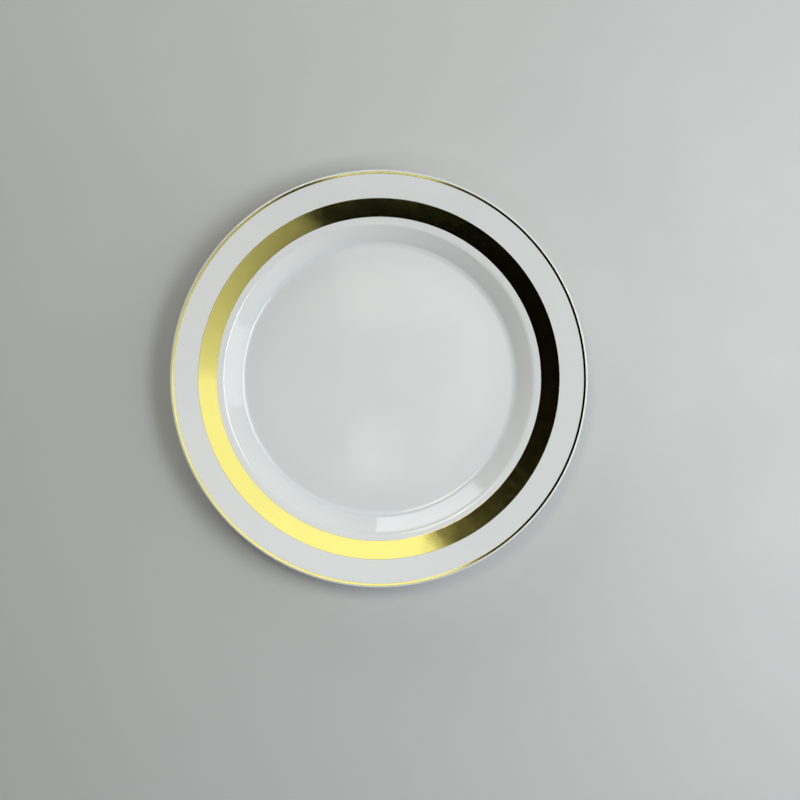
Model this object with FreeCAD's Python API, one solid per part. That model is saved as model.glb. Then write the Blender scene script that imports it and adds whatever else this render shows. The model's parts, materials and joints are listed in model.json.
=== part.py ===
# China dinner plate: a fired porcelain body, the glaze over it, and two rings of fired gold on the rim.
#
# Every piece is turned about the plate's axis, so each one is a flat section in the XZ plane that is
# revolved about Z. The origin is on the axis, in the plane that the foot ring stands on, and +Z points
# up out of the well. Lengths are in millimetres and angles in degrees.
#
# Body and glaze are both cut from one outline, that of the finished plate over its glaze. The body is
# that outline taken in by the thickness of the glaze, so the two always meet face to face.

import FreeCAD, Part
import os
from math import cos, radians, sin, tan

# The whole plate
plate_diameter = 266.0

# The rim's stripes, from the edge inwards. The rim is as wide as they are together.
lip_width = 1.1            # rounded white edge outside the thin gold line
line_width = 1.5           # thin gold line
outer_field_width = 14.8   # plain white between the line and the band
band_width = 11.7          # wide gold band
inner_field_width = 3.0    # plain white between the band and the shoulder
rim_slope = 12.0           # above level, rising outwards
edge_thickness = 2.6       # height of the edge
edge_land = 0.3            # least that stays upright between the edge's two rounded corners

# The well
well_depth = 9.8           # from the floor up to the corner where wall and rim meet
wall_slope = 42.0          # above level
wall_thickness = 4.0
floor_thickness = 4.2
shoulder_fillet = 6.0      # where the wall turns out into the rim
floor_fillet = 6.5         # where the floor turns up into the wall
under_shoulder_fillet = 9.0
under_wall_fillet = 8.0

# The foot ring
foot_inset = 6.7           # from the flat of the well floor in to the ring, so that plates stack
foot_height = 2.8          # clear height under the well
foot_face_width = 2.4      # across the foot of the ring, before its two edges are rounded
foot_draft = 22.0          # lean of the ring's two flanks from upright
foot_root_fillet = 2.0
foot_tip_fillet = 0.7

# The coats
glaze_thickness = 0.2
glaze_wipe_height = 0.5    # the glaze is wiped off the foot ring up to this height
gold_thickness = 0.05

# A section runs this far past the axis before it is trimmed there, so that insetting it leaves the
# floor's faces whole at the centre.
axis_overrun = 5.0
full_turn = 360


# Radii, worked inwards from the edge
plate_radius = plate_diameter / 2
line_outer_radius = plate_radius - lip_width
line_inner_radius = line_outer_radius - line_width
band_outer_radius = line_inner_radius - outer_field_width
band_inner_radius = band_outer_radius - band_width
rim_inner_radius = band_inner_radius - inner_field_width
shoulder_tangent = shoulder_fillet * tan(radians(wall_slope - rim_slope) / 2)
shoulder_radius = rim_inner_radius - shoulder_tangent * cos(radians(rim_slope))
floor_corner_radius = shoulder_radius - well_depth / tan(radians(wall_slope))
floor_flat_radius = floor_corner_radius - floor_fillet * tan(radians(wall_slope) / 2)
foot_outer_radius = floor_flat_radius - foot_inset
foot_inner_radius = foot_outer_radius - foot_face_width

# Heights, worked upwards from the plane that the plate stands on
floor_height = foot_height + floor_thickness
shoulder_height = floor_height + well_depth


def rim_height(radius):
    """Height of the rim's finished upper face at this radius."""
    return shoulder_height + (radius - shoulder_radius) * tan(radians(rim_slope))


edge_height = rim_height(plate_radius)

# The edge is rounded over the whole lip, and its lower corner as much, or as far as the edge allows.
edge_corner = radians(90 - rim_slope)
edge_tangent = lip_width / cos(radians(rim_slope))
edge_round = edge_tangent * tan(edge_corner / 2)
lower_edge_round = min(edge_round, edge_thickness - edge_tangent - edge_land)

# Where the wall's underside meets the rim's and the floor's
mean_slope = radians(wall_slope + rim_slope) / 2
under_shoulder_reach = wall_thickness / cos(radians(wall_slope - rim_slope) / 2)
under_shoulder_radius = shoulder_radius + under_shoulder_reach * sin(mean_slope)
under_shoulder_height = shoulder_height - under_shoulder_reach * cos(mean_slope)
under_wall_radius = under_shoulder_radius - (under_shoulder_height - foot_height) / tan(radians(wall_slope))


def point(radius, height):
    return FreeCAD.Vector(radius, 0, height)


def corner_points(before, corner, after, fillet):
    """The corner itself or, where it is rounded, the start, the middle and the end of its arc."""
    if not fillet:
        return [corner]
    to_before = (before - corner).normalize()
    to_after = (after - corner).normalize()
    inwards = (to_before + to_after).normalize()
    half_angle = to_before.getAngle(to_after) / 2
    tangent = fillet / tan(half_angle)
    centre = corner + inwards * (fillet / sin(half_angle))
    return [corner + to_before * tangent, centre - inwards * fillet, corner + to_after * tangent]


def rounded_face(corners):
    """Flat face inside a closed run of (radius, height, fillet) corners."""
    places = [point(radius, height) for radius, height, fillet in corners]
    following = places[1:] + places[:1]
    turns = []
    for i, (radius, height, fillet) in enumerate(corners):
        turns.append(corner_points(places[i - 1], places[i], following[i], fillet))
    edges = []
    for turn, next_turn in zip(turns, turns[1:] + turns[:1]):
        if len(turn) > 1:
            edges.append(Part.Arc(*turn).toShape())
        edges.append(Part.LineSegment(turn[-1], next_turn[0]).toShape())
    return Part.Face(Part.Wire(edges))


def box_face(low_radius, low_height, high_radius, high_height):
    return rounded_face([
        (low_radius, low_height, 0),
        (high_radius, low_height, 0),
        (high_radius, high_height, 0),
        (low_radius, high_height, 0),
    ])


def finished_outline():
    """Section of the finished plate over its glaze, as if the foot ring were glazed too."""
    foot_flare = (foot_height + glaze_thickness) * tan(radians(foot_draft))
    return rounded_face([
        (-axis_overrun, floor_height, 0),
        (floor_corner_radius, floor_height, floor_fillet),
        (shoulder_radius, shoulder_height, shoulder_fillet),
        (plate_radius, edge_height, edge_round),
        (plate_radius, edge_height - edge_thickness, lower_edge_round),
        (under_shoulder_radius, under_shoulder_height, under_shoulder_fillet),
        (under_wall_radius, foot_height, under_wall_fillet),
        (foot_outer_radius + foot_flare, foot_height, foot_root_fillet),
        (foot_outer_radius, -glaze_thickness, foot_tip_fillet),
        (foot_inner_radius, -glaze_thickness, foot_tip_fillet),
        (foot_inner_radius - foot_flare, foot_height, foot_root_fillet),
        (-axis_overrun, foot_height, 0),
    ])


def right_of_axis(section):
    """The part of a section on the side of the axis that is revolved."""
    return section.common(box_face(0, -plate_radius, 2 * plate_radius, plate_radius))


def revolved(face):
    return face.revolve(point(0, 0), FreeCAD.Vector(0, 0, 1), full_turn)


def body_section():
    """Section of the fired porcelain, from the axis out to the edge."""
    return right_of_axis(finished_outline().makeOffset2D(-glaze_thickness))


def porcelain_body():
    """Floor, wall, rim and foot ring in one piece of fired clay."""
    return revolved(body_section().Faces[0])


def glaze_sections():
    """The glaze in section: the coat over the top and outside, and the patch inside the foot ring."""
    wiped_band = box_face(0, -plate_radius, 2 * plate_radius, glaze_wipe_height)
    coats = right_of_axis(finished_outline()).cut(body_section()).cut(wiped_band).Faces
    return sorted(coats, key=lambda coat: coat.BoundBox.XMax, reverse=True)


def glaze_coat():
    """Glaze over the well, the rim, the edge and the underside as far in as the foot ring."""
    return revolved(glaze_sections()[0])


def foot_well_glaze():
    """Glaze under the well, inside the foot ring."""
    return revolved(glaze_sections()[1])


def gold_ring(inner_radius, outer_radius):
    """Thin ring of gold lying on the glazed face of the rim."""
    lift_in = -gold_thickness * sin(radians(rim_slope))
    lift_up = gold_thickness * cos(radians(rim_slope))
    return revolved(rounded_face([
        (inner_radius, rim_height(inner_radius), 0),
        (outer_radius, rim_height(outer_radius), 0),
        (outer_radius + lift_in, rim_height(outer_radius) + lift_up, 0),
        (inner_radius + lift_in, rim_height(inner_radius) + lift_up, 0),
    ]))


def wide_gold_band():
    return gold_ring(band_inner_radius, band_outer_radius)


def rim_gold_line():
    return gold_ring(line_inner_radius, line_outer_radius)


def main():
    os.makedirs("parts", exist_ok=True)
    for piece in (porcelain_body, glaze_coat, foot_well_glaze, wide_gold_band, rim_gold_line):
        shape = piece()
        shape.exportStep(f"parts/{piece.__name__}.step")
        size = shape.optimalBoundingBox(False)
        print(f"{piece.__name__}: {size.XLength:.2f} across, {size.ZMin:.2f} to {size.ZMax:.2f} high, "
              f"{shape.Volume:.0f} mm3, {len(shape.Solids)} solid, valid {shape.isValid()}")
    print(f"flat of the well floor: radius {floor_flat_radius:.2f} at height {floor_height:.2f}")
    print(f"foot face: radius {foot_inner_radius:.2f} to {foot_outer_radius:.2f}")


main()
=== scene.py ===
# %% [markdown]
# A china dinner plate: fired porcelain turned on a wheel, glazed white all over except for the foot ring
# that it stands on, with a wide band and a thin line of fired gold on its rim. The script loads the
# engineered plate as a fixed frame, turns a finer mesh for each of its five pieces about the same axis,
# gives each its finish, and sets up a camera, a table top and soft window light.

# %% Load the frame
import json
from math import atan2, cos, degrees, hypot, pi, radians, sin, sqrt, tan

import bmesh
import bpy
import numpy as np
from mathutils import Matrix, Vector, noise


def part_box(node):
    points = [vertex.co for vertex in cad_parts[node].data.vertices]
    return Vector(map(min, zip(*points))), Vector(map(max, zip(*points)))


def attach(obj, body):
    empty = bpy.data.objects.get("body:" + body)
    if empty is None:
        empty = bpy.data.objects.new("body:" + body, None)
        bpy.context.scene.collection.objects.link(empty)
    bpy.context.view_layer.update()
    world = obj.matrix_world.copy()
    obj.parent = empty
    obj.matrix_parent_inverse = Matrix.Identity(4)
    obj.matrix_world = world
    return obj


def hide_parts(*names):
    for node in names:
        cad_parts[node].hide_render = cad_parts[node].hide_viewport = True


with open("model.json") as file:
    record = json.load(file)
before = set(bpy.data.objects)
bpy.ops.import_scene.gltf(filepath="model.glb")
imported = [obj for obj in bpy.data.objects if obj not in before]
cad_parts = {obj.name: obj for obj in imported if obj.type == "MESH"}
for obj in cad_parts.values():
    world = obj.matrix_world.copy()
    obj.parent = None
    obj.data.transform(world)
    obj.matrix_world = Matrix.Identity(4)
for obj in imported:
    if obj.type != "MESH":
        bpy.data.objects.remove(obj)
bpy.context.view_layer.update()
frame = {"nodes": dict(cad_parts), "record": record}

MM = 0.001
print("nodes:", sorted(frame["nodes"]))

# %% [markdown]
# Most sizes are read from the frame, so that the meshes can't drift away from it. A ring's two radii are
# the nearest and the farthest of its vertices from the axis, and the record's mounts say where the well
# floor and the foot face are.

# %% Read the sizes that the frame holds
def radii_of(node):
    """Nearest and farthest distance of a node's surface from the plate's axis."""
    distances = [hypot(v.co.x, v.co.y) for v in frame["nodes"][node].data.vertices]
    return min(distances), max(distances)


mounts = {mount["name"]: mount for mount in frame["record"]["mounts"]}
floor_height = mounts["well_floor"]["pos_m"][2]
foot_middle = mounts["foot_face"]["pos_m"][0]

plate_radius = radii_of("glaze_coat")[1]
band_inner, band_outer = radii_of("wide_gold_band")
line_inner, line_outer = radii_of("rim_gold_line")

band_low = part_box("wide_gold_band")[0]
line_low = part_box("rim_gold_line")[0]
rim_rise = (line_low.z - band_low.z) / (line_inner - band_inner)
rim_slope = atan2(rim_rise, 1)
wipe_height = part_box("glaze_coat")[0].z


def rim_height(radius):
    """Height of the rim's glazed upper face."""
    return band_low.z + (radius - band_inner) * rim_rise


print(f"radius {plate_radius / MM:.2f} mm, rim slope {degrees(rim_slope):.2f} degrees")
for name, inner, outer in (("band", band_inner, band_outer), ("line", line_inner, line_outer)):
    print(f"{name} from radius {inner / MM:.2f} to {outer / MM:.2f} mm")

# %% [markdown]
# The roundings are the potter's own choices: the template that shapes a plate on the wheel has a straight
# or a round for every stretch of it. They are given here in millimetres and degrees, and everything else
# in the outline follows from them and from the frame.

# %% Name the template's own sizes
inner_field_width = 3.0 * MM       # plain white between the gold band and the shoulder
lip_width = plate_radius - line_outer
edge_thickness = 2.6 * MM
wall_slope = radians(42.0)
wall_thickness = 4.0 * MM
shoulder_fillet = 6.0 * MM
floor_fillet = 6.5 * MM
under_shoulder_fillet = 9.0 * MM
under_wall_fillet = 8.0 * MM
foot_height = 2.8 * MM
foot_face_width = 2.4 * MM
foot_draft = radians(22.0)
foot_root_fillet = 2.0 * MM
foot_tip_fillet = 0.7 * MM
glaze_thickness = 0.2 * MM
gold_thickness = 0.05 * MM

# %% [markdown]
# The finished plate's section, over its glaze, is a closed run of corners with a rounding at each. The rim
# gives the shoulder's place, and from there the wall runs down to the floor at its slope. The underside
# follows the upper side at the wall's thickness, so that the clay is even and doesn't crack in the kiln.

# %% Work out the corners of the outline
well_depth = 9.8 * MM
shoulder_height = floor_height + well_depth
rim_inner = band_inner - inner_field_width
shoulder_radius = rim_inner - shoulder_fillet * tan((wall_slope - rim_slope) / 2) * cos(rim_slope)
floor_corner_radius = shoulder_radius - well_depth / tan(wall_slope)

edge_height = rim_height(plate_radius)
edge_round = lip_width / cos(rim_slope) * tan(radians(90) / 2 - rim_slope / 2)

mean_slope = (wall_slope + rim_slope) / 2
under_reach = wall_thickness / cos((wall_slope - rim_slope) / 2)
under_shoulder_radius = shoulder_radius + under_reach * sin(mean_slope)
under_shoulder_height = shoulder_height - under_reach * cos(mean_slope)
under_wall_radius = under_shoulder_radius - (under_shoulder_height - foot_height) / tan(wall_slope)

foot_outer = foot_middle + foot_face_width / 2
foot_inner = foot_middle - foot_face_width / 2
foot_flare = (foot_height + glaze_thickness) * tan(foot_draft)

corners = [
    (0.0, floor_height, 0.0),
    (floor_corner_radius, floor_height, floor_fillet),
    (shoulder_radius, shoulder_height, shoulder_fillet),
    (plate_radius, edge_height, edge_round),
    (plate_radius, edge_height - edge_thickness, edge_round),
    (under_shoulder_radius, under_shoulder_height, under_shoulder_fillet),
    (under_wall_radius, foot_height, under_wall_fillet),
    (foot_outer + foot_flare, foot_height, foot_root_fillet),
    (foot_outer, -glaze_thickness, foot_tip_fillet),
    (foot_inner, -glaze_thickness, foot_tip_fillet),
    (foot_inner - foot_flare, foot_height, foot_root_fillet),
    (0.0, foot_height, 0.0),
]
print(f"shoulder corner at radius {shoulder_radius / MM:.2f}, height {shoulder_height / MM:.2f}")

# %% [markdown]
# An outline is a chain of points from the middle of the well, out over the rim and back underneath. Every
# point also carries the direction that faces out of the clay there. Moving each point back along that
# direction by the glaze's thickness gives the surface of the body under the glaze, so one chain makes both.
# Rounds get a point every few degrees, because gloss shows the smallest facet. Straights get extra points
# close to their ends, so that smooth shading doesn't spread a round's turn along them.

# %% Trace the outline
SHOWN_ARC = radians(4.5)           # between two points of a round that shows
HIDDEN_ARC = radians(15.0)         # between two points of a round under the glaze
SHOWN_STRAIGHT = 5.0 * MM          # between two points of a straight that shows
END_STEP = 0.3 * MM


def spaced(length, step):
    """Distances along a straight: close to each end, and evenly between. None at all for no step."""
    if not step or length < 3 * END_STEP:
        return []
    count = max(1, round((length - 2 * END_STEP) / step))
    gap = (length - 2 * END_STEP) / count
    return [END_STEP + i * gap for i in range(count + 1)]


def turn_at(before, corner, after, fillet, arc_step):
    """Points round one corner: each a place and the direction that faces out of the clay."""
    into = (corner - before).normalized()
    out_of = (after - corner).normalized()
    angle = into.angle(out_of)
    side = 1 if into.cross(out_of) < 0 else -1
    start = corner - into * fillet * tan(angle / 2)
    facing = Vector((-into.y, into.x))
    centre = start - facing * fillet * side
    steps = max(2, round(angle / arc_step))
    found = []
    for i in range(steps + 1):
        turned = -side * angle * i / steps
        direction = Vector((facing.x * cos(turned) - facing.y * sin(turned),
                            facing.x * sin(turned) + facing.y * cos(turned)))
        found.append((centre + direction * fillet * side, direction))
    return found


def trace(arc_step, straight_step=0.0):
    """Chain of (place, facing) through the corners, from the axis round to the axis again."""
    places = [Vector((radius, height)) for radius, height, fillet in corners]
    turns = [[(places[0], Vector((0, 1)))]]
    for i in range(1, len(corners) - 1):
        turns.append(turn_at(places[i - 1], places[i], places[i + 1], corners[i][2], arc_step))
    turns.append([(places[-1], Vector((0, -1)))])
    chain = []
    for turn, next_turn in zip(turns, turns[1:]):
        chain += turn
        start, end = turn[-1][0], next_turn[0][0]
        run = end - start
        facing = Vector((-run.y, run.x)).normalized()
        inside = spaced(run.length, straight_step)
        chain += [(start + run * (along / run.length), facing) for along in inside]
    return chain + turns[-1]


outline = trace(SHOWN_ARC, SHOWN_STRAIGHT)
hidden_outline = trace(HIDDEN_ARC)
print(len(outline), "points in the outline,", len(hidden_outline), "in the one under the glaze")

# %% [markdown]
# Every piece is a solid of revolution, so each one is a closed section turned about the axis. Spinning the
# section step by step in bmesh gives the same faces, but takes seconds for a fine mesh. The Screw modifier
# is Blender's lathe and does it at once. Its result is then made a plain mesh, whose vertices can be moved
# one by one, which the slightly uneven glaze needs.

# %% Turn a section into a piece
SEGMENTS = 512
ON_AXIS = 1e-9                     # metres from the axis, within which a section starts or ends on it
WELD_DISTANCE = 1e-7


def turned(name, section):
    """A closed, smoothly shaded mesh object turned from (radius, height) points about the Z axis."""
    count = len(section)
    on_axis = section[0].x < ON_AXIS and section[-1].x < ON_AXIS
    edges = [(i, (i + 1) % count) for i in range(count - 1 if on_axis else count)]
    profile = bpy.data.meshes.new(name + "_section")
    profile.from_pydata([(place.x, 0, place.y) for place in section], edges, [])
    piece = bpy.data.objects.new(name, profile)
    bpy.context.scene.collection.objects.link(piece)
    lathe = piece.modifiers.new("lathe", "SCREW")
    lathe.steps = lathe.render_steps = SEGMENTS
    lathe.use_merge_vertices = True
    lathe.merge_threshold = WELD_DISTANCE
    solid = piece.evaluated_get(bpy.context.evaluated_depsgraph_get())
    piece.data = bpy.data.meshes.new_from_object(solid)
    piece.data.name = name
    piece.modifiers.clear()
    bpy.data.meshes.remove(profile)
    face_outwards(piece.data)
    print(f"{name}: {len(piece.data.vertices)} vertices, {len(piece.data.polygons)} faces")
    return piece


def face_outwards(mesh):
    bm = bmesh.new()
    bm.from_mesh(mesh)
    bmesh.ops.recalc_face_normals(bm, faces=bm.faces)
    bm.to_mesh(mesh)
    bm.free()
    mesh.shade_smooth()


# %% [markdown]
# The fired body is the outline taken in by the glaze all round. Where the foot ring is wiped clean, its
# face is bare clay. Real plates have it ground flat after firing, so it stays as sharp and flat as the
# frame has it.

# %% Turn the porcelain body
def under_glaze(chain):
    return [place - facing * glaze_thickness for place, facing in chain]


body = turned("fired_body", under_glaze(hidden_outline))

# %% [markdown]
# The glaze lies on the body like a poured skin. It covers the plate in two regions, because the foot ring
# between them is wiped clean. Where a region ends, the molten glaze has drawn itself into a round edge, so
# its thickness falls to nothing over the last stretch like a quarter of an ellipse.

# %% Turn the two regions of glaze
EDGE_ROLL = 0.7 * MM
ROLL_POINTS = 8                    # in the round edge, apart from its end


def crossing(chain, first, last, height):
    """The point between two neighbours of a chain that lies at this height, and its facing."""
    (low, low_facing), (high, high_facing) = chain[first], chain[last]
    share = (height - low.y) / (high.y - low.y)
    return low.lerp(high, share), low_facing.lerp(high_facing, share).normalized()


def down_to_wipe(chain):
    """The chain from its start to where it first comes down to the wiped height."""
    end = next(i for i, (place, facing) in enumerate(chain) if place.y < wipe_height)
    return chain[:end] + [crossing(chain, end - 1, end, wipe_height)]


def rolled(chain):
    """Outer face of the glaze, thinned to a round edge at the chain's end."""
    last = chain[-1][0]
    face = []
    for place, facing in chain:
        share = min(1.0, (place - last).length / EDGE_ROLL)
        thickness = glaze_thickness * sqrt(1 - (1 - share) ** 2)
        face.append(place - facing * (glaze_thickness - thickness))
    return face


def with_roll_points(chain):
    """The chain with its last stretch divided finely, so that its round edge is smooth."""
    last, facing = chain[-1]
    kept = [(p, f) for p, f in chain[:-1] if (p - last).length > EDGE_ROLL]
    along = (kept[-1][0] - last).normalized()
    shares = [sin(pi / 2 * i / ROLL_POINTS) ** 2 for i in range(ROLL_POINTS, -1, -1)]
    return kept + [(last + along * EDGE_ROLL * share, facing) for share in shares]


def glaze_region(name, side_up):
    """One region of glaze, from the axis out to where it is wiped off the foot ring."""
    fine = outline if side_up else outline[::-1]
    coarse = hidden_outline if side_up else hidden_outline[::-1]
    outer = rolled(with_roll_points(down_to_wipe(fine)))
    inner = under_glaze(down_to_wipe(coarse))
    return turned(name, outer + inner[-2::-1])


main_glaze = glaze_region("main_glaze", True)
foot_glaze = glaze_region("foot_glaze", False)

# %% [markdown]
# The gold is painted on the finished glaze with a brush while the plate turns, and fired again. Each ring
# is a very thin layer, so its section is a flat strip whose two edges are rounded off. A painter's hand
# isn't a machine: each edge wanders in and out by a few hundredths of a millimetre round the plate. Each
# vertex also stores how near it is to an edge, where the material paints the gold darker as shade.

# %% Lay on the two gold rings
EDGE_WANDER = 0.05 * MM
WANDER_LOBES = 9.0                 # roughly how many times an edge wanders out and in, round the plate
EDGE_POINTS = 5                    # in the rounding of an edge
FLAT_STEP = 2.0 * MM               # between two points across the flat of a ring
EDGE_STEP = 0.06 * MM              # from the rounded edge to the next point, so that its turn stays there
EDGE_FADE = 0.35 * MM              # width of the painted shade along each edge
# the stored number marks where the gold's edges are painted darker as shade
EDGE_SHADE_NAME = "thin"


def gold_section(inner, outer):
    """Section of a ring of gold: along its underside, then back over its rounded top."""
    along = Vector((cos(rim_slope), sin(rim_slope)))
    up = Vector((-sin(rim_slope), cos(rim_slope)))
    start = Vector((inner, rim_height(inner)))
    width = (outer - inner) / cos(rim_slope)
    count = max(2, round(width / FLAT_STEP))
    flat = [width * i / count for i in range(1, count)]
    ends = [gold_thickness + EDGE_STEP, EDGE_FADE]
    flat = ends + flat + [width - end for end in reversed(ends)]
    turns = [pi / 2 * i / EDGE_POINTS for i in range(1, EDGE_POINTS + 1)]
    right = [(width + gold_thickness * (cos(t) - 1), gold_thickness * sin(t)) for t in turns]
    left = [(gold_thickness * (1 - cos(t)), gold_thickness * sin(t)) for t in turns]
    section = [(0, 0)] + [(x, 0) for x in flat] + [(width, 0)] + right
    section += [(x, gold_thickness) for x in flat[::-1]] + left[::-1]
    return [start + along * x + up * y for x, y in section]


def read(mesh, what):
    """One row of three numbers per vertex: its place ("co") or its normal ("normal")."""
    values = np.empty(3 * len(mesh.vertices), np.float32)
    mesh.vertices.foreach_get(what, values)
    return values.reshape(-1, 3)


def write_places(mesh, places):
    mesh.vertices.foreach_set("co", places.ravel())
    mesh.update()


def wander_edges(piece, inner, outer):
    """Moves a ring's vertices in from its two edges, along the rim, by a slowly changing amount."""
    middle = (inner + outer) / 2
    places = read(piece.data, "co")
    for place in places:
        radius = hypot(place[0], place[1])
        side = 1 if radius > middle else -1
        lobe = Vector((place[0], place[1], 0)) / radius * WANDER_LOBES / (2 * pi)
        lobe.z = side + inner / MM
        inwards = EDGE_WANDER * (0.5 + 0.5 * noise.noise(lobe)) * abs(radius - middle) / (outer - middle)
        place[:2] *= 1 - side * inwards / radius
        place[2] -= side * inwards * rim_rise
    write_places(piece.data, places)


def write_share(piece, name, share):
    """Stores one number per vertex, for a material to read by its name."""
    attribute = piece.data.attributes.new(name, "FLOAT", "POINT")
    attribute.data.foreach_set("value", share.astype(np.float32))


def mark_shaded_edges(piece, inner, outer):
    """From 1 at a ring's two edges, where the gold is painted darker as shade, to 0 away from them."""
    places = read(piece.data, "co")
    radii = np.hypot(places[:, 0], places[:, 1])
    from_edge = np.minimum(radii - inner, outer - radii)
    write_share(piece, EDGE_SHADE_NAME, np.clip(1 - from_edge / EDGE_FADE, 0, 1))


def gold_ring(name, inner, outer):
    ring = turned(name, gold_section(inner, outer))
    mark_shaded_edges(ring, inner, outer)
    wander_edges(ring, inner, outer)
    return ring


gold_band = gold_ring("gold_band", band_inner, band_outer)
gold_line = gold_ring("gold_line", line_inner, line_outer)

# %% [markdown]
# A fired glaze is never dead flat. It sinks and swells by a hundredth of a millimetre or two over a few
# centimetres, which nobody can feel but which bends the reflection of a window frame. A bump map would do
# for a still picture, but moving the vertices keeps it in the mesh. The gold lies on the glaze, so both
# follow the same unevenness.

# %% Make the glaze slightly uneven
WAVER_DEPTH = 0.022 * MM
WAVER_SPAN = 34.0 * MM
QUICK_SPAN = WAVER_SPAN / 2.6
LEAST_UPWARD = 0.3                 # faces that look up at least this much are the plate's upper side


def waver(x, y):
    """How far the upper surface lies below its ideal place here."""
    slow = noise.noise(Vector((x, y, 0)) / WAVER_SPAN)
    quick = noise.noise(Vector((x, y, 5)) / QUICK_SPAN)
    return WAVER_DEPTH * (0.5 + 0.4 * slow + 0.1 * quick)


def settle(piece, everywhere):
    """Lowers a piece's upper face, or all of it, by the waver."""
    places = read(piece.data, "co")
    upper = places[:, 2] > floor_height - glaze_thickness / 2
    upper &= read(piece.data, "normal")[:, 2] > LEAST_UPWARD
    for i in np.flatnonzero(upper | everywhere):
        places[i, 2] -= waver(places[i, 0], places[i, 1])
    write_places(piece.data, places)


settle(main_glaze, everywhere=False)
settle(gold_band, everywhere=True)
settle(gold_line, everywhere=True)

# %% [markdown]
# Glaze is thicker wherever it could run together before it froze: in the round between floor and wall, and
# at the root of the foot ring. Its tint shows more there. The mesh carries this as a number at each vertex,
# worked out from how far the place is from those rounds.

# %% Mark where the glaze has pooled
POOL_REACH = 7.0 * MM
POOL_NAME = "pooled"


def pooled_share(piece, centres):
    """From 0, thin glaze, to 1, the middle of a pool. Centres are (radius, height) places."""
    places = read(piece.data, "co")
    radii = np.hypot(places[:, 0], places[:, 1])
    share = np.zeros(len(places))
    for radius, height in centres:
        away = np.hypot(radii - radius, places[:, 2] - height)
        share = np.maximum(share, np.exp(-(away / POOL_REACH) ** 2))
    write_share(piece, POOL_NAME, share)


pooled_share(main_glaze, [(floor_corner_radius, floor_height), (foot_outer + foot_flare, foot_height)])
pooled_share(foot_glaze, [(foot_inner - foot_flare, foot_height)])

# %% [markdown]
# Shaders are graphs of nodes. A few helpers keep the graphs short to read: they add a node and fill or link
# its inputs by name, do arithmetic, mix colours, and make and place node groups. Effects that several
# finishes share are such groups, each with named inputs and outputs, built once and placed in each material
# with its own values.

# %% Helpers for shader graphs
NODES_IN_A_ROW = 8
NODE_WIDTH, NODE_HEIGHT = 200, 260             # room for each node in the editor
FIRST_COLOUR, SECOND_COLOUR, MIXED = 6, 7, 2   # a Mix node's colour sockets, which share their names


def add(tree, kind, inputs=None, **options):
    """Adds a shader node. An input's value is a number, a colour or another node's output."""
    node = tree.nodes.new("ShaderNode" + kind)
    row, column = divmod(len(tree.nodes), NODES_IN_A_ROW)
    node.location = (NODE_WIDTH * column, -NODE_HEIGHT * row)
    for option, value in options.items():
        setattr(node, option, value)
    for name, value in (inputs or {}).items():
        if isinstance(value, bpy.types.NodeSocket):
            tree.links.new(value, node.inputs[name])
        else:
            node.inputs[name].default_value = value
    return node


def calculate(tree, operation, *values):
    """The result of a Math node."""
    return add(tree, "Math", dict(enumerate(values)), operation=operation).outputs[0]


def ramp(tree, value, low, high, to_low=0.0, to_high=1.0):
    """Value taken smoothly from between low and high to between to_low and to_high."""
    names = ("Value", "From Min", "From Max", "To Min", "To Max")
    inputs = dict(zip(names, (value, low, high, to_low, to_high)))
    return add(tree, "MapRange", inputs, interpolation_type="SMOOTHSTEP").outputs[0]


def mix(tree, share, first, second):
    """A colour between first and second."""
    node = add(tree, "Mix", {"Factor": share}, data_type="RGBA")
    for number, value in ((FIRST_COLOUR, first), (SECOND_COLOUR, second)):
        if isinstance(value, bpy.types.NodeSocket):
            tree.links.new(value, node.inputs[number])
        else:
            node.inputs[number].default_value = (*value, 1.0)
    return node.outputs[MIXED]


def new_group(name, inputs, outputs):
    """An empty node group with a Vector input, these {name: default} inputs and these outputs."""
    tree = bpy.data.node_groups.new(name, "ShaderNodeTree")
    tree.interface.new_socket("Vector", in_out="INPUT", socket_type="NodeSocketVector")
    for label, value in inputs.items():
        socket = tree.interface.new_socket(label, in_out="INPUT", socket_type="NodeSocketFloat")
        socket.default_value = value
    for label in outputs:
        tree.interface.new_socket(label, in_out="OUTPUT", socket_type="NodeSocketFloat")
    print(f"group {name}: from Vector, {', '.join(inputs)} to {', '.join(outputs)}")
    return tree, tree.nodes.new("NodeGroupInput").outputs, tree.nodes.new("NodeGroupOutput").inputs


def from_group(tree, group, output, **inputs):
    """Adds a group to a material with these inputs, and returns this output of it."""
    node = add(tree, "Group", node_tree=group)
    for name, value in inputs.items():
        socket = node.inputs[name.replace("_", " ")]
        if isinstance(value, bpy.types.NodeSocket):
            tree.links.new(value, socket)
        else:
            socket.default_value = value
    return node.outputs[output]


# %% [markdown]
# **Cloud** is a soft, irregular variation with no direction. Glaze, clay and gold all have some of it: clay
# fires unevenly, glaze varies in thickness, and gold in how much the brush left.

# %% Group: cloud
NOISE_RANGE = (0.3, 0.7)           # noise seldom goes past these


def cloud_group():
    tree, given, out = new_group("Cloud", {"Size": 0.03, "Detail": 2.0}, ["Value"])
    scale = calculate(tree, "DIVIDE", 1.0, given["Size"])
    inputs = {"Vector": given["Vector"], "Scale": scale, "Detail": given["Detail"]}
    pattern = add(tree, "TexNoise", inputs)
    tree.links.new(ramp(tree, pattern.outputs[0], *NOISE_RANGE), out["Value"])
    return tree


cloud = cloud_group()

# %% [markdown]
# **Specks** are rare small dots: iron in the clay that burned through the glaze, pinholes where gas escaped,
# or dust in the gold. A Voronoi pattern has one random point in each cell. Keeping the dots of only a few
# cells, and giving each its own size, spreads them the way that real ones lie.

# %% Group: specks
SMALLEST_DOT = 0.35                # of the largest one's size
DOT_CORE = 0.6                     # of a dot's size, inside which it is at its full strength


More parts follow.
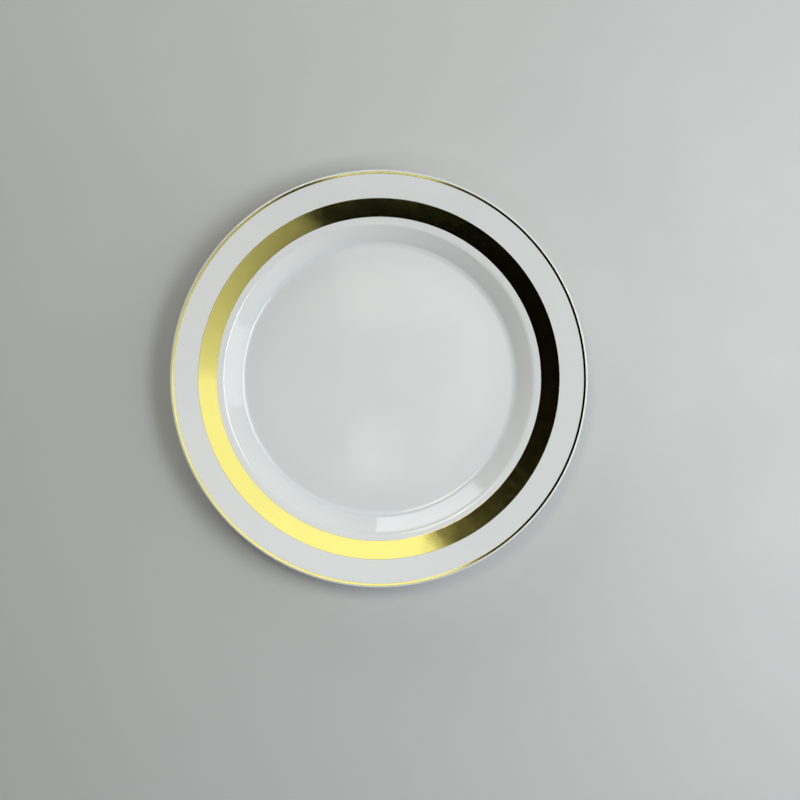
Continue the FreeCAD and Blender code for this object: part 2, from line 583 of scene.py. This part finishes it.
def specks_group():
    tree, given, out = new_group("Specks", {"Spacing": 0.01, "Dot": 0.0002, "Share": 0.3}, ["Mask"])
    scale = calculate(tree, "DIVIDE", 1.0, given["Spacing"])
    cells = add(tree, "TexVoronoi", {"Vector": given["Vector"], "Scale": scale})
    chance = add(tree, "SeparateColor", {"Color": cells.outputs["Color"]})
    away = calculate(tree, "MULTIPLY", cells.outputs["Distance"], given["Spacing"])
    share_of_size = ramp(tree, chance.outputs[1], 0.0, 1.0, SMALLEST_DOT, 1.0)
    size = calculate(tree, "MULTIPLY", given["Dot"], share_of_size)
    dot = ramp(tree, calculate(tree, "DIVIDE", away, size), 1.0, DOT_CORE)
    kept = calculate(tree, "LESS_THAN", chance.outputs[0], given["Share"])
    tree.links.new(calculate(tree, "MULTIPLY", dot, kept), out["Mask"])
    return tree


specks = specks_group()

# %% [markdown]
# **Hairlines** are the marks of use: knives and forks in the well, and washing and stacking everywhere. A
# noise that is stretched far in one direction gives streaks, and keeping only its crests turns them into
# thin lines. Four such sets at different angles, each broken up by a cloud, cross as real ones do.

# %% Group: hairlines
HAIRLINE_ANGLES = (12.0, 57.0, 98.0, 151.0)
HAIRLINE_STRETCH = 0.022           # of the pattern's scale, along a hairline
HAIRLINE_SOFTNESS = 0.04           # of the noise's range, from a hairline's side to its middle
HAIRLINE_SHIFT = 0.013             # metres between one set's pattern and the next set's
PATCHES_PER_METRE = 45.0           # of the cloud that breaks the hairlines up
PATCH_EDGE = (0.5, 0.62)           # of that cloud, where the hairlines fade in


def hairlines_group():
    tree, given, out = new_group("Hairlines", {"Spacing": 0.004, "Fineness": 0.72}, ["Mask"])
    scale = calculate(tree, "DIVIDE", 1.0, given["Spacing"])
    total = None
    for number, angle in enumerate(HAIRLINE_ANGLES):
        laid = add(tree, "Mapping", {
            "Vector": given["Vector"],
            "Location": (HAIRLINE_SHIFT * number, 0.0, 0.0),
            "Rotation": (0.0, 0.0, radians(angle)),
        }, vector_type="POINT")
        stretched = add(tree, "VectorMath", {0: laid.outputs[0], 1: (HAIRLINE_STRETCH, 1.0, 1.0)},
                        operation="MULTIPLY")
        streak = add(tree, "TexNoise", {"Vector": stretched.outputs[0], "Scale": scale, "Detail": 1.0})
        patch = add(tree, "TexNoise", {
            "Vector": laid.outputs[0],
            "Scale": PATCHES_PER_METRE,
            "Detail": 0.0,
        })
        top = calculate(tree, "ADD", given["Fineness"], HAIRLINE_SOFTNESS)
        crest = ramp(tree, streak.outputs[0], given["Fineness"], top)
        line = calculate(tree, "MULTIPLY", crest, ramp(tree, patch.outputs[0], *PATCH_EDGE))
        total = line if total is None else calculate(tree, "MAXIMUM", total, line)
    tree.links.new(total, out["Mask"])
    return tree


hairlines = hairlines_group()

# %% [markdown]
# **Rings** are marks that run round the axis: the grinding of the foot, and the strokes of the brush that
# laid the gold as the plate turned. A noise that changes quickly with the distance from the axis, and only
# slowly round it, makes them.

# %% Group: rings
def rings_group():
    tree, given, out = new_group("Rings", {"Spacing": 0.0004, "Round": 0.02}, ["Height"])
    parts = add(tree, "SeparateXYZ", {"Vector": given["Vector"]})
    squares = [calculate(tree, "POWER", parts.outputs[i], 2.0) for i in (0, 1)]
    radius = calculate(tree, "SQRT", calculate(tree, "ADD", *squares))
    across = calculate(tree, "DIVIDE", radius, given["Spacing"])
    along = [calculate(tree, "DIVIDE", parts.outputs[i], given["Round"]) for i in (0, 1)]
    where = add(tree, "CombineXYZ", {"X": across, "Y": along[0], "Z": along[1]})
    marks = add(tree, "TexNoise", {"Vector": where.outputs[0], "Scale": 1.0, "Detail": 2.0})
    tree.links.new(marks.outputs[0], out["Height"])
    return tree


rings = rings_group()

# %% [markdown]
# **Ripple** is the faint orange-peel surface of anything that was once a liquid film. It is a few microns
# high, so a bump map is the right tool for it.

# %% Group: ripple
def ripple_group():
    tree, given, out = new_group("Ripple", {"Size": 0.003}, ["Height"])
    scale = calculate(tree, "DIVIDE", 1.0, given["Size"])
    film = add(tree, "TexNoise", {"Vector": given["Vector"], "Scale": scale, "Detail": 1.0})
    tree.links.new(film.outputs[0], out["Height"])
    return tree


ripple = ripple_group()

# %% [markdown]
# Every finish starts from the same Principled surface shader, and reads its patterns in the piece's own
# coordinates. Those are the frame's, in metres, so a pattern's size is a real size and rings lie round the
# plate's axis.

# %% Start a material
def start(name):
    """A new material: its tree, its surface shader, and the piece's own coordinates in metres."""
    material = bpy.data.materials.new(name)
    material.use_nodes = True
    tree = material.node_tree
    tree.nodes.clear()
    surface = add(tree, "BsdfPrincipled")
    add(tree, "OutputMaterial", {"Surface": surface.outputs[0]})
    where = add(tree, "TexCoord").outputs["Object"]
    return material, tree, surface, where


def connect(tree, surface, **sources):
    """Links named inputs of the surface shader, such as Base_Color, to these outputs."""
    for name, source in sources.items():
        tree.links.new(source, surface.inputs[name.replace("_", " ")])
    print(f"surface varies in {', '.join(sources)}, from {len(tree.nodes)} nodes")


def raised(tree, height, microns, below=None):
    """The normal of a surface that this height pattern raises by so many microns."""
    inputs = {"Height": height, "Strength": 1.0, "Distance": microns * 1e-6}
    if below is not None:
        inputs["Normal"] = below
    return add(tree, "Bump", inputs).outputs[0]


def sunk(tree, mask, microns, below=None):
    """The normal of a surface that is this many microns lower where the mask is 1."""
    return raised(tree, calculate(tree, "SUBTRACT", 1.0, mask), microns, below)


def part_of(tree, mask, share):
    return calculate(tree, "MULTIPLY", mask, share)


def gloss_of(tree, tone, span, scratches, scratched):
    """Roughness that drifts over this span with the tone, and is higher in the scratches."""
    return calculate(tree, "ADD", ramp(tree, tone, 0.0, 1.0, *span), part_of(tree, scratches, scratched))


# %% [markdown]
# **The white glaze** is a glass with white clay right behind it. Its colour is almost neutral, and a touch
# cooler where it has pooled. Nearly all of its character is in its gloss: smooth and sharp, broken only
# by hairlines, pinholes and a faint ripple. A separate coat layer over a duller white would look the same
# in most light, but one glossy dielectric surface is simpler and exports as it is.

# %% Material: white glaze
GLAZE_WHITE = (0.80, 0.815, 0.805)
GLAZE_SHADE = (0.765, 0.785, 0.78)
POOLED_TINT = (0.70, 0.745, 0.755)
IRON_SPECK = (0.25, 0.20, 0.15)
GLAZE_IOR = 1.52
GLAZE_GLOSS = (0.07, 0.10)
SCRATCHED_GLAZE = 0.22             # more roughness in a hairline
FILM_RIPPLE = 0.0032               # metres across one swell of a film that was once liquid
FILM_HEIGHT = 2.2                  # microns
HAIRLINE_DEPTH = 1.2               # microns
PINHOLE_DEPTH = 25.0               # microns


def glaze_material():
    material, tree, surface, where = start("white_glaze")
    surface.inputs["IOR"].default_value = GLAZE_IOR
    pooled = add(tree, "Attribute", attribute_name=POOL_NAME).outputs["Fac"]
    tone = from_group(tree, cloud, "Value", Vector=where, Size=0.045, Detail=3.0)
    dots = from_group(tree, specks, "Mask", Vector=where, Spacing=0.017, Dot=0.00022, Share=0.16)
    pinholes = from_group(tree, specks, "Mask", Vector=where, Spacing=0.009, Dot=0.00012, Share=0.22)
    scratches = from_group(tree, hairlines, "Mask", Vector=where, Spacing=0.0035, Fineness=0.74)
    film = from_group(tree, ripple, "Height", Vector=where, Size=FILM_RIPPLE)

    white = mix(tree, part_of(tree, tone, 0.6), GLAZE_WHITE, GLAZE_SHADE)
    white = mix(tree, part_of(tree, pooled, 0.5), white, POOLED_TINT)
    white = mix(tree, part_of(tree, dots, 0.7), white, IRON_SPECK)
    shape = raised(tree, film, FILM_HEIGHT)
    shape = sunk(tree, scratches, HAIRLINE_DEPTH, shape)
    shape = sunk(tree, pinholes, PINHOLE_DEPTH, shape)
    gloss = gloss_of(tree, tone, GLAZE_GLOSS, scratches, SCRATCHED_GLAZE)
    connect(tree, surface, Base_Color=white, Roughness=gloss, Normal=shape)
    return material


glaze = glaze_material()

# %% [markdown]
# **The bare clay** of the foot is fired hard, but it has no glass on it. It is matt and warmer than the
# glaze, carries the rings of the grinding wheel, and picks up a little grey from every table.

# %% Material: bare fired clay
CLAY = (0.76, 0.72, 0.65)
CLAY_DARK = (0.62, 0.58, 0.51)
FOOT_GREY = (0.42, 0.41, 0.39)
CLAY_IOR = 1.45
CLAY_GLOSS = (0.62, 0.82)
GRINDING_HEIGHT = 14.0             # microns
GRAIN_DEPTH = 30.0                 # microns
RUBBED_CRESTS = (0.52, 0.68)       # of the grinding's height, where the grey of a table starts and is full


def clay_material():
    material, tree, surface, where = start("bare_clay")
    surface.inputs["IOR"].default_value = CLAY_IOR
    tone = from_group(tree, cloud, "Value", Vector=where, Size=0.006, Detail=5.0)
    grinding = from_group(tree, rings, "Height", Vector=where, Spacing=0.00022, Round=0.012)
    grains = from_group(tree, specks, "Mask", Vector=where, Spacing=0.0011, Dot=0.00016, Share=0.35)
    rubbed = ramp(tree, grinding, *RUBBED_CRESTS)

    colour = mix(tree, tone, CLAY, CLAY_DARK)
    colour = mix(tree, part_of(tree, rubbed, 0.45), colour, FOOT_GREY)
    colour = mix(tree, part_of(tree, grains, 0.5), colour, IRON_SPECK)
    shape = sunk(tree, grains, GRAIN_DEPTH, raised(tree, grinding, GRINDING_HEIGHT))
    gloss = ramp(tree, tone, 0.0, 1.0, *CLAY_GLOSS)
    connect(tree, surface, Base_Color=colour, Roughness=gloss, Normal=shape)
    return material


clay = clay_material()

# %% [markdown]
# ** The fired gold** is a real metal film, so the shader is fully metallic and its base colour is the tint
# of what it mirrors. It is bright gold with a lemon cast. The brush has left faint rings in it, the film
# is browner where it is thin, it has rare pinholes, and its two edges are painted darker as shade.

# %% Material: fired gold
GOLD = (0.94, 0.86, 0.27)
THIN_GOLD = (0.80, 0.66, 0.22)
# painted shade: the colour that darkens the gold along its two edges
EDGE_SHADE_GOLD = (0.42, 0.39, 0.20)
GOLD_GLOSS = (0.065, 0.08)
SCRATCHED_GOLD = 0.06              # more roughness in a hairline
STROKE_HEIGHT = 0.5                # microns
SCRATCH_DEPTH = 0.4                # microns
STROKE_RANGE = (0.35, 0.7)         # of the strokes' pattern, from its low parts to its high ones
THIN_STROKES = (0.03, 0.15)        # how far the colour goes to thin gold, in the low parts and the high


def gold_material():
    material, tree, surface, where = start("fired_gold")
    surface.inputs["Metallic"].default_value = 1.0
    tone = from_group(tree, cloud, "Value", Vector=where, Size=0.007, Detail=4.0)
    strokes = from_group(tree, rings, "Height", Vector=where, Spacing=0.0006, Round=0.03)
    scratches = from_group(tree, hairlines, "Mask", Vector=where, Spacing=0.0022, Fineness=0.76)
    film = from_group(tree, ripple, "Height", Vector=where, Size=FILM_RIPPLE)
    gold_edge_shade = add(tree, "Attribute", attribute_name=EDGE_SHADE_NAME).outputs["Fac"]
    pinholes = from_group(tree, specks, "Mask", Vector=where, Spacing=0.006, Dot=0.00014, Share=0.2)

    thin = calculate(tree, "MULTIPLY", tone, ramp(tree, strokes, *STROKE_RANGE, *THIN_STROKES))
    colour = mix(tree, thin, GOLD, THIN_GOLD)
    colour = mix(tree, part_of(tree, pinholes, 0.6), colour, THIN_GOLD)
    # painted shade: the gold is darkened along its two edges
    colour = mix(tree, part_of(tree, gold_edge_shade, 0.75), colour, EDGE_SHADE_GOLD)
    shape = raised(tree, film, FILM_HEIGHT)
    shape = raised(tree, strokes, STROKE_HEIGHT, shape)
    shape = sunk(tree, scratches, SCRATCH_DEPTH, shape)
    gloss = gloss_of(tree, tone, GOLD_GLOSS, scratches, SCRATCHED_GOLD)
    connect(tree, surface, Base_Color=colour, Roughness=gloss, Normal=shape)
    return material


gold = gold_material()

# %% [markdown]
# Each mesh takes the place of one solid of the frame and rides on the plate's one body. The body keeps
# the clay all over, since the glaze hides it except at the foot.

# %% Give each piece its finish
def finish_as(piece, material, node):
    piece.data.materials.clear()
    piece.data.materials.append(material)
    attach(piece, "root")
    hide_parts(node)
    print(f"{piece.name} takes the place of {node}, with {material.name}")


finish_as(body, clay, "porcelain_body")
finish_as(main_glaze, glaze, "glaze_coat")
finish_as(foot_glaze, glaze, "foot_well_glaze")
finish_as(gold_band, gold, "wide_gold_band")
finish_as(gold_line, gold, "rim_gold_line")

# %% [markdown]
# The camera looks straight down, as a person does who stands over a table. The plate is a little left of
# and above the middle of the view, so the camera stands a little to its right and below.

# %% Place the camera
CAMERA_HEIGHT = 0.70
VIEW_WIDTH = 0.5085                # width of the view in the plane of the rim
CAMERA_RIGHT = 0.0135
CAMERA_DOWN = 0.0136
SENSOR = 36.0

lens = bpy.data.cameras.new("camera")
lens.sensor_width = SENSOR
lens.lens = SENSOR * (CAMERA_HEIGHT - edge_height) / VIEW_WIDTH
camera = bpy.data.objects.new("camera", lens)
camera.location = (CAMERA_RIGHT, -CAMERA_DOWN, CAMERA_HEIGHT)
bpy.context.scene.collection.objects.link(camera)
bpy.context.scene.camera = camera
print(f"lens {lens.lens:.1f} mm")

# %% [markdown]
# The plate stands on a pale, faintly glossy table top. It curves up into a low wall far away, so that low
# views end in a plain backdrop and not in the dark.

# %% Build the table and backdrop
TABLE_RADIUS = 3.2
WALL_HEIGHT = 1.1
CURVE_RADIUS = 0.7
CURVE_STEPS = 12
THICKNESS = 0.01
TABLE_GREY = (0.56, 0.57, 0.56)
TABLE_SHADE = 0.985                # of that grey, in its darker clouds
TABLE_GLOSS = (0.52, 0.58)


def table_material():
    material, tree, surface, where = start("table_top")
    tone = from_group(tree, cloud, "Value", Vector=where, Size=0.08, Detail=4.0)
    shade = [TABLE_SHADE * channel for channel in TABLE_GREY]
    colour = mix(tree, tone, TABLE_GREY, shade)
    connect(tree, surface, Base_Color=colour, Roughness=ramp(tree, tone, 0.0, 1.0, *TABLE_GLOSS))
    return material


def backdrop():
    section = [Vector((0, 0))]
    for i in range(CURVE_STEPS + 1):
        turn = pi / 2 * i / CURVE_STEPS
        across = TABLE_RADIUS - CURVE_RADIUS * (1 - sin(turn))
        section.append(Vector((across, CURVE_RADIUS * (1 - cos(turn)))))
    outside = TABLE_RADIUS + THICKNESS
    section += [Vector((TABLE_RADIUS, WALL_HEIGHT)), Vector((outside, WALL_HEIGHT))]
    section += [Vector((outside, -THICKNESS)), Vector((0, -THICKNESS))]
    return turned("table", section)


table = backdrop()
table.data.materials.append(table_material())

# %% [markdown]
# The light is daylight in a white room: a tall window on the right, a low one beyond the plate, a large
# soft box above its right side, and stretches of bright ceiling. Each is an area light. An area light's
# power depends on its size, so it is worked out here from the brightness that a mirror would show.

# %% Make one area light
DAYLIGHT = (0.92, 0.96, 1.0)
NEUTRAL = (1.0, 1.0, 0.94)
WARM = (1.0, 0.91, 0.72)


def area_light(name, width, height, brightness, colour):
    data = bpy.data.lights.new(name, "AREA")
    data.shape = "RECTANGLE"
    data.size = width
    data.size_y = height
    data.energy = brightness * pi * width * height
    data.color = colour
    light = bpy.data.objects.new(name, data)
    bpy.context.scene.collection.objects.link(light)
    print(f"{name}: {width:.2f} by {height:.2f} m, brightness {brightness:.2f}")
    return light


def direction_to(azimuth, elevation):
    level = cos(elevation)
    return Vector((level * cos(azimuth), level * sin(azimuth), sin(elevation)))


# %% [markdown]
# The backdrop's wall has lights of its own, or it would be dark in low views. They stand in a ring over the
# table and shine outwards and down, so the plate sees only their backs, which give no light.

# %% Light the backdrop
BACKDROP_LIGHTS = 6
BACKDROP_SIZE = (1.7, 0.5)
BACKDROP_DISTANCE = 1.7
BACKDROP_HEIGHT = 1.3
BACKDROP_TILT = radians(30)
BACKDROP_BRIGHTNESS = 2.6

for i in range(BACKDROP_LIGHTS):
    light = area_light(f"backdrop_{i}", *BACKDROP_SIZE, BACKDROP_BRIGHTNESS, NEUTRAL)
    azimuth = 2 * pi * i / BACKDROP_LIGHTS
    light.location = direction_to(azimuth, 0) * BACKDROP_DISTANCE + Vector((0, 0, BACKDROP_HEIGHT))
    outwards = direction_to(azimuth, -BACKDROP_TILT)
    light.rotation_euler = outwards.to_track_quat("-Z", "Y").to_euler()

# %% [markdown]
# A window is placed by what the plate sees of it: its first and last azimuth and its lowest and highest
# elevation, in degrees. That is how a reflection is judged too. A window from 5 to 24 degrees shows in
# the wall of the well, and a taller one also draws a line of light along the rounds above and below it.

# %% Stand the windows round the table
WINDOW_DISTANCE = 1.5
WINDOWS = {    # first and last azimuth, lowest and highest elevation, brightness, colour
    "right_window": (-20, 12, 5, 55, 2.0, DAYLIGHT),
    "far_window": (91, 132, 5, 24, 3.9, DAYLIGHT),
    "near_window": (-70, -20, 5, 24, 0.4, NEUTRAL),
}


def stand_window(name, first, last, low, high, brightness, colour):
    width = 2 * WINDOW_DISTANCE * tan(radians(last - first) / 2)
    height = 2 * WINDOW_DISTANCE * tan(radians(high - low) / 2)
    light = area_light(name, width, height, brightness, colour)
    direction = direction_to(radians(first + last) / 2, radians(low + high) / 2)
    light.location = direction * WINDOW_DISTANCE
    light.rotation_euler = direction.to_track_quat("Z", "Y").to_euler()


for name, window in WINDOWS.items():
    stand_window(name, *window)

# %% [markdown]
# A mirror-like ring of gold shows what is above it, so the ceiling's places are the picture. The gold on the
# left mirrors the bright ceiling and glows, and the gold on the right mirrors the dark part of the room and
# is nearly black. Between them the ceiling's light fades out in strips, each a little dimmer than the last.

# %% Hang the soft box and the ceiling
CEILING = 1.5
PANELS = {    # left, right, near and far edges, height, brightness, colour
    "soft_box": (0.42, 0.80, -0.40, 0.40, 0.9, 6.5, DAYLIGHT),
    "ceiling_middle": (0.14, 0.80, 0.02, 0.80, CEILING, 1.03, NEUTRAL),
    "ceiling_far": (-0.12, 0.14, 0.14, 0.80, CEILING, 1.08, NEUTRAL),
    "ceiling_far_left": (-0.52, -0.12, 0.35, 0.80, CEILING, 7.2, WARM),
    "ceiling_glow": (-0.09, 0.02, -0.18, -0.05, CEILING, 1.4, DAYLIGHT),
    "ceiling_near_left": (-1.00, 0.15, -1.05, -0.86, CEILING, 5.0, DAYLIGHT),
}
FADE_STRIPS = 10
FADE_FROM, FADE_TO = 0.02, -0.33
FADE_LEFT, FADE_RIGHT = 0.08, 0.36
FADE_BRIGHTNESS = 0.78


def hang_panel(name, left, right, near, far, height, brightness, colour):
    light = area_light(name, right - left, far - near, brightness, colour)
    light.location = ((left + right) / 2, (near + far) / 2, height)


for name, panel in PANELS.items():
    hang_panel(name, *panel)

strip = (FADE_FROM - FADE_TO) / FADE_STRIPS
for i in range(FADE_STRIPS):
    far = FADE_FROM - i * strip
    brightness = FADE_BRIGHTNESS * (1 - (i + 0.5) / FADE_STRIPS)
    hang_panel(f"ceiling_fade_{i}", FADE_LEFT, FADE_RIGHT, far - strip, far, CEILING, brightness, NEUTRAL)

# %% [markdown]
# The rest of the room is almost dark, or it would fill the black side of the gold with grey. The Standard
# view keeps the whites of the glaze white, where a filmic one would grey them.

# %% Dim the rest of the room
WORLD_STRENGTH = 0.001

world = bpy.data.worlds.new("room")
world.use_nodes = True
world.node_tree.nodes["Background"].inputs["Color"].default_value = (1.0, 1.0, 1.0, 1.0)
world.node_tree.nodes["Background"].inputs["Strength"].default_value = WORLD_STRENGTH
bpy.context.scene.world = world
bpy.context.scene.view_settings.view_transform = "Standard"
